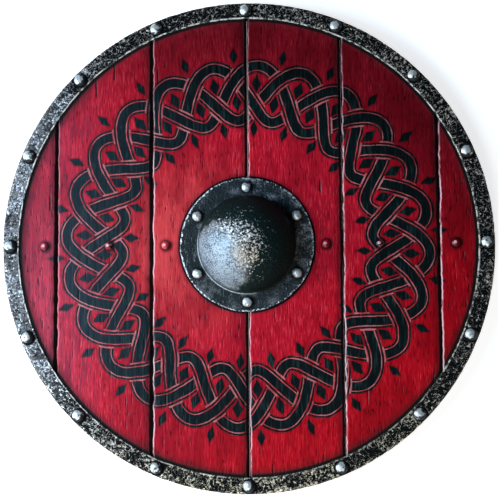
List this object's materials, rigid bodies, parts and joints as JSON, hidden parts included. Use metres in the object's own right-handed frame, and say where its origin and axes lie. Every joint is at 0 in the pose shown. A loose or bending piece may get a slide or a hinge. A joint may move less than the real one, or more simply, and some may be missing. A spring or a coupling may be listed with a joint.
{
  "type": "wooden round shield",
  "caption": "Round shield of upright painted planks in a riveted steel rim, with a domed steel boss over the hand hole and a wooden grip bar behind.",
  "frame": {"origin": "on the shield's axis, on the flat underside of the grip bar, where the shield lies on its back", "axes": "+Z out of the painted face through the boss, +Y towards the top of the shield along its planks, +X to the right seen from the front"},
  "size_m": [0.61, 0.61, 0.0806],
  "materials": {
    "painted_planks": "worn red and black paint on grained boards, bare oiled wood behind",
    "rim_steel": "hammered and blackened",
    "boss_steel": "hammered, dark patina, scratched",
    "rivet_steel": "domed heads, polished by wear",
    "painted_rivets": "painted over with the planks",
    "grip_wood": "oiled, darkened by the hand"
  },
  "bodies": {
    "root": {"plank_1": "painted_planks", "plank_2": "painted_planks", "plank_3": "painted_planks", "plank_4": "painted_planks", "plank_5": "painted_planks", "plank_6": "painted_planks", "rim": "rim_steel", "boss": "boss_steel", "grip_bar": "grip_wood", "rim_rivet_01": "rivet_steel", "rim_rivet_02": "rivet_steel", "rim_rivet_03": "rivet_steel", "rim_rivet_04": "rivet_steel", "rim_rivet_05": "rivet_steel", "rim_rivet_06": "rivet_steel", "rim_rivet_07": "rivet_steel", "rim_rivet_08": "rivet_steel", "rim_rivet_09": "rivet_steel", "rim_rivet_10": "rivet_steel", "rim_rivet_11": "rivet_steel", "rim_rivet_12": "rivet_steel", "rim_rivet_13": "rivet_steel", "rim_rivet_14": "rivet_steel", "rim_rivet_15": "rivet_steel", "rim_rivet_16": "rivet_steel", "boss_rivet_1": "rivet_steel", "boss_rivet_2": "rivet_steel", "boss_rivet_3": "rivet_steel", "boss_rivet_4": "rivet_steel", "boss_rivet_5": "rivet_steel", "boss_rivet_6": "rivet_steel", "bar_rivet_1": "painted_rivets", "bar_rivet_2": "painted_rivets", "bar_rivet_3": "painted_rivets", "bar_rivet_4": "painted_rivets", "bar_rivet_5": "painted_rivets", "bar_rivet_6": "painted_rivets"}
  },
  "joints": []
}
